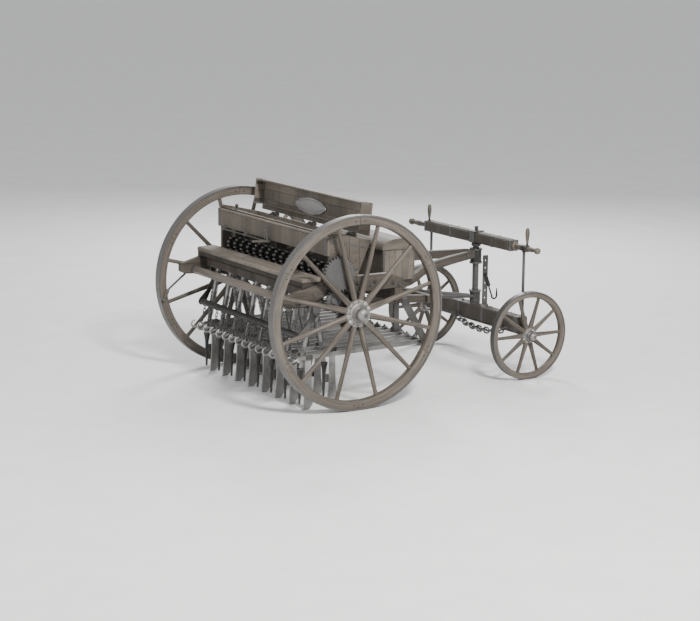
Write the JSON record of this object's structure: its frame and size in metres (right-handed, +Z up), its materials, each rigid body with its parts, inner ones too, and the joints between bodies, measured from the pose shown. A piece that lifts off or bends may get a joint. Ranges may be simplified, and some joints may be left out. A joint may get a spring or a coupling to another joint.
{
  "type": "seed drill",
  "caption": "Horse-drawn seed drill: two large spoked wheels, long seed box with open lid, rank of coulter levers with seed tubes, windlass lift and steered two-wheel fore carriage.",
  "frame": {"origin": "centre of the footprint on the ground", "axes": "+X forward in the direction of travel, +Y to the machine's left, +Z up"},
  "size_m": [2.6838, 2.008, 1.4675],
  "materials": {
    "wheel_timber": "painted, weathered",
    "frame_timber": "painted, weathered",
    "box_timber": "painted, weathered",
    "toolbox_timber": "painted, weathered",
    "roller_timber": "worn",
    "tyre_iron": "worn bright on the tread",
    "cast_iron": "rough cast",
    "wrought_iron": "forged, dull",
    "tin": "dull sheet"
  },
  "bodies": {
    "chassis": {"frame_timbers": "frame_timber", "main_axle": "wrought_iron", "axle_brackets": "cast_iron", "box_ends": "box_timber", "box_boards": "box_timber", "box_inner_boards": "box_timber", "iron_fittings": "wrought_iron", "seed_tubes": "tin", "lever_hinge_bar": "wrought_iron", "toolbox_body": "toolbox_timber", "swan_neck_arms": "frame_timber", "perch_beams": "frame_timber", "post_bearings": "cast_iron"},
    "left_wheel": {"left_wheel_tyre": "tyre_iron", "left_wheel_felloes": "wheel_timber", "left_wheel_spokes": "wheel_timber", "left_wheel_nave": "cast_iron"},
    "right_wheel": {"right_wheel_tyre": "tyre_iron", "right_wheel_felloes": "wheel_timber", "right_wheel_spokes": "wheel_timber", "right_wheel_nave": "cast_iron", "drive_gear": "cast_iron"},
    "idler": {"idler_gear": "cast_iron"},
    "seed_barrel": {"seed_barrel": "cast_iron", "cup_discs": "tin"},
    "lid": {"lid_tray": "box_timber"},
    "regulator": {"regulator_crank": "wrought_iron"},
    "toolbox_lid": {"toolbox_lid": "toolbox_timber"},
    "windlass": {"windlass_roller": "roller_timber"},
    "pawl": {"ratchet_pawl": "wrought_iron"},
    "lift_bar": {"lift_bar": "wrought_iron", "lift_chains": "wrought_iron"},
    "fore_carriage": {"fore_beam": "frame_timber", "fore_axle": "wrought_iron", "steer_rods": "wrought_iron", "steer_bar": "frame_timber", "draught_hake": "wrought_iron", "fore_chain": "wrought_iron"},
    "left_fore_wheel": {"left_fore_wheel_felloes": "wheel_timber", "left_fore_wheel_spokes": "wheel_timber", "left_fore_wheel_nave": "cast_iron"},
    "right_fore_wheel": {"right_fore_wheel_felloes": "wheel_timber", "right_fore_wheel_spokes": "wheel_timber", "right_fore_wheel_nave": "cast_iron"},
    "draught_hook": {"draught_hook": "wrought_iron"},
    "lever_01": {"lever_01": "wrought_iron"},
    "lever_02": {"lever_02": "wrought_iron"},
    "lever_03": {"lever_03": "wrought_iron"},
    "lever_04": {"lever_04": "wrought_iron"},
    "lever_05": {"lever_05": "wrought_iron"},
    "lever_06": {"lever_06": "wrought_iron"},
    "lever_07": {"lever_07": "wrought_iron"},
    "lever_08": {"lever_08": "wrought_iron"},
    "lever_09": {"lever_09": "wrought_iron"},
    "lever_10": {"lever_10": "wrought_iron"},
    "lever_11": {"lever_11": "wrought_iron"},
    "lever_12": {"lever_12": "wrought_iron"},
    "lever_13": {"lever_13": "wrought_iron"},
    "lever_14": {"lever_14": "wrought_iron"},
    "lever_15": {"lever_15": "wrought_iron"}
  },
  "joints": [
    {"name": "left_wheel_spin", "type": "hinge", "parent": "chassis", "child": "left_wheel", "pos_m": [-0.642, 0.886, 0.7], "axis": [0, 1, 0], "continuous": true},
    {"name": "right_wheel_spin", "type": "hinge", "parent": "chassis", "child": "right_wheel", "pos_m": [-0.642, -0.886, 0.7], "axis": [0, 1, 0], "continuous": true},
    {"name": "idler_spin", "type": "hinge", "parent": "chassis", "child": "idler", "pos_m": [-0.8152, -0.838, 0.8], "axis": [0, 1, 0], "continuous": true},
    {"name": "barrel_spin", "type": "hinge", "parent": "chassis", "child": "seed_barrel", "pos_m": [-0.767, 0, 0.9817], "axis": [0, 1, 0], "continuous": true},
    {"name": "lid_hinge", "type": "hinge", "parent": "chassis", "child": "lid", "pos_m": [-0.492, 0, 1.212], "axis": [0, 1, 0], "range_deg": [-84, 0]},
    {"name": "regulator_turn", "type": "hinge", "parent": "chassis", "child": "regulator", "pos_m": [-0.874, 0, 1.104], "axis": [0, 1, 0], "range_deg": [-60, 0]},
    {"name": "toolbox_hinge", "type": "hinge", "parent": "chassis", "child": "toolbox_lid", "pos_m": [-0.1402, 0, 1.036], "axis": [0, 1, 0], "range_deg": [-100, 0]},
    {"name": "windlass_turn", "type": "hinge", "parent": "chassis", "child": "windlass", "pos_m": [-1.082, 0, 0.795], "axis": [0, 1, 0], "range_deg": [0, 220]},
    {"name": "pawl_pivot", "type": "hinge", "parent": "chassis", "child": "pawl", "pos_m": [-1, -0.724, 0.845], "axis": [0, 1, 0], "range_deg": [0, 40]},
    {"name": "lift_bar_swing", "type": "hinge", "parent": "chassis", "child": "lift_bar", "pos_m": [-0.912, 0, 0.7], "axis": [0, 1, 0], "range_deg": [0, 42], "deforming": ["lift_chains"]},
    {"name": "steering", "type": "hinge", "parent": "chassis", "child": "fore_carriage", "pos_m": [1.003, 0, 0.5], "axis": [0, 0, 1], "range_deg": [-30, 30]},
    {"name": "left_fore_wheel_spin", "type": "hinge", "parent": "fore_carriage", "child": "left_fore_wheel", "pos_m": [1.003, 0.707, 0.339], "axis": [0, 1, 0], "continuous": true},
    {"name": "right_fore_wheel_spin", "type": "hinge", "parent": "fore_carriage", "child": "right_fore_wheel", "pos_m": [1.003, -0.707, 0.339], "axis": [0, 1, 0], "continuous": true},
    {"name": "draught_hook_swing", "type": "hinge", "parent": "fore_carriage", "child": "draught_hook", "pos_m": [1.098, 0, 0.685], "axis": [0, 1, 0], "range_deg": [-55, 0]},
    {"name": "lever_01_lift", "type": "hinge", "parent": "chassis", "child": "lever_01", "pos_m": [0.018, -0.727, 0.4], "axis": [0, 1, 0], "range_deg": [0, 6], "deforming": ["seed_tubes"]},
    {"name": "lever_02_lift", "type": "hinge", "parent": "chassis", "child": "lever_02", "pos_m": [0.018, -0.625, 0.4], "axis": [0, 1, 0], "range_deg": [0, 6]},
    {"name": "lever_03_lift", "type": "hinge", "parent": "chassis", "child": "lever_03", "pos_m": [0.018, -0.523, 0.4], "axis": [0, 1, 0], "range_deg": [0, 6]},
    {"name": "lever_04_lift", "type": "hinge", "parent": "chassis", "child": "lever_04", "pos_m": [0.018, -0.421, 0.4], "axis": [0, 1, 0], "range_deg": [0, 6]},
    {"name": "lever_05_lift", "type": "hinge", "parent": "chassis", "child": "lever_05", "pos_m": [0.018, -0.319, 0.4], "axis": [0, 1, 0], "range_deg": [0, 6]},
    {"name": "lever_06_lift", "type": "hinge", "parent": "chassis", "child": "lever_06", "pos_m": [0.018, -0.217, 0.4], "axis": [0, 1, 0], "range_deg": [0, 6]},
    {"name": "lever_07_lift", "type": "hinge", "parent": "chassis", "child": "lever_07", "pos_m": [0.018, -0.115, 0.4], "axis": [0, 1, 0], "range_deg": [0, 6]},
    {"name": "lever_08_lift", "type": "hinge", "parent": "chassis", "child": "lever_08", "pos_m": [0.018, -0.013, 0.4], "axis": [0, 1, 0], "range_deg": [0, 6]},
    {"name": "lever_09_lift", "type": "hinge", "parent": "chassis", "child": "lever_09", "pos_m": [0.018, 0.089, 0.4], "axis": [0, 1, 0], "range_deg": [0, 6]},
    {"name": "lever_10_lift", "type": "hinge", "parent": "chassis", "child": "lever_10", "pos_m": [0.018, 0.191, 0.4], "axis": [0, 1, 0], "range_deg": [0, 6]},
    {"name": "lever_11_lift", "type": "hinge", "parent": "chassis", "child": "lever_11", "pos_m": [0.018, 0.293, 0.4], "axis": [0, 1, 0], "range_deg": [0, 6]},
    {"name": "lever_12_lift", "type": "hinge", "parent": "chassis", "child": "lever_12", "pos_m": [0.018, 0.395, 0.4], "axis": [0, 1, 0], "range_deg": [0, 6]},
    {"name": "lever_13_lift", "type": "hinge", "parent": "chassis", "child": "lever_13", "pos_m": [0.018, 0.497, 0.4], "axis": [0, 1, 0], "range_deg": [0, 6]},
    {"name": "lever_14_lift", "type": "hinge", "parent": "chassis", "child": "lever_14", "pos_m": [0.018, 0.599, 0.4], "axis": [0, 1, 0], "range_deg": [0, 6]},
    {"name": "lever_15_lift", "type": "hinge", "parent": "chassis", "child": "lever_15", "pos_m": [0.018, 0.701, 0.4], "axis": [0, 1, 0], "range_deg": [0, 6]}
  ],
  "couplings": [
    {"joint": "idler_spin", "follows": "right_wheel_spin", "ratio": -2.125},
    {"joint": "barrel_spin", "follows": "right_wheel_spin", "ratio": 1.0968},
    {"joint": "lift_bar_swing", "follows": "windlass_turn", "ratio": 0.19091},
    {"joint": "lever_01_lift", "follows": "windlass_turn", "ratio": 0.027273},
    {"joint": "lever_02_lift", "follows": "windlass_turn", "ratio": 0.027273},
    {"joint": "lever_03_lift", "follows": "windlass_turn", "ratio": 0.027273},
    {"joint": "lever_04_lift", "follows": "windlass_turn", "ratio": 0.027273},
    {"joint": "lever_05_lift", "follows": "windlass_turn", "ratio": 0.027273},
    {"joint": "lever_06_lift", "follows": "windlass_turn", "ratio": 0.027273},
    {"joint": "lever_07_lift", "follows": "windlass_turn", "ratio": 0.027273},
    {"joint": "lever_08_lift", "follows": "windlass_turn", "ratio": 0.027273},
    {"joint": "lever_09_lift", "follows": "windlass_turn", "ratio": 0.027273},
    {"joint": "lever_10_lift", "follows": "windlass_turn", "ratio": 0.027273},
    {"joint": "lever_11_lift", "follows": "windlass_turn", "ratio": 0.027273},
    {"joint": "lever_12_lift", "follows": "windlass_turn", "ratio": 0.027273},
    {"joint": "lever_13_lift", "follows": "windlass_turn", "ratio": 0.027273},
    {"joint": "lever_14_lift", "follows": "windlass_turn", "ratio": 0.027273},
    {"joint": "lever_15_lift", "follows": "windlass_turn", "ratio": 0.027273}
  ]
}
